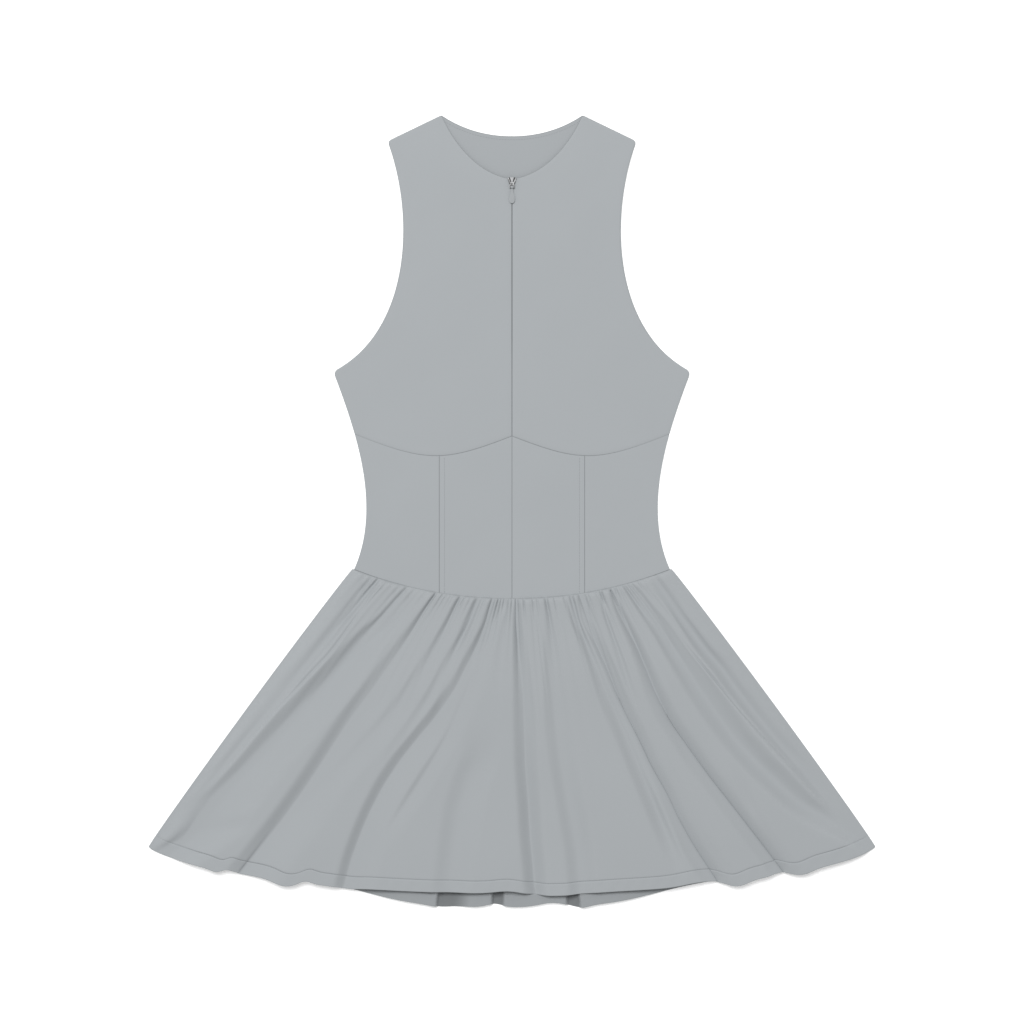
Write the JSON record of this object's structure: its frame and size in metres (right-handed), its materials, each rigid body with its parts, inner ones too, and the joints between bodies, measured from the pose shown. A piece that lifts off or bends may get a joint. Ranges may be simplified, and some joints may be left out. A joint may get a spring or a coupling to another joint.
{
  "type": "sleeveless zip dress",
  "caption": "Sleeveless dress laid flat, with a concealed front zip and pull tab, seamed midriff and gathered flared skirt.",
  "frame": {"origin": "centre of the laid-out dress, on the surface that it lies on", "axes": "+X to the viewer's right across the hem, +Y from the hem to the neck, +Z off the surface, out of the dress's front"},
  "size_m": [0.814, 0.8874, 0.0126],
  "materials": {
    "jersey": "matt smooth knit, blue-grey",
    "zip_tape": "woven tape, dark grey",
    "slider_metal": "light nickel plate",
    "tab_paint": "satin paint to match the cloth"
  },
  "bodies": {
    "dress": {"back_bodice": "jersey", "front_bodice_left": "jersey", "front_bodice_right": "jersey", "midriff_side_left": "jersey", "midriff_side_right": "jersey", "midriff_centre_left": "jersey", "midriff_centre_right": "jersey", "skirt_front": "jersey", "skirt_back": "jersey", "zip_tape_left": "zip_tape", "zip_tape_right": "zip_tape", "zip_slider": "slider_metal"},
    "pull_tab": {"zip_pull_tab": "tab_paint"}
  },
  "joints": [
    {"name": "pull_tab_hinge", "type": "hinge", "parent": "dress", "child": "pull_tab", "pos_m": [0, 0.3635, 0.007], "axis": [-1, 0, 0], "range_deg": [0, 150]}
  ]
}
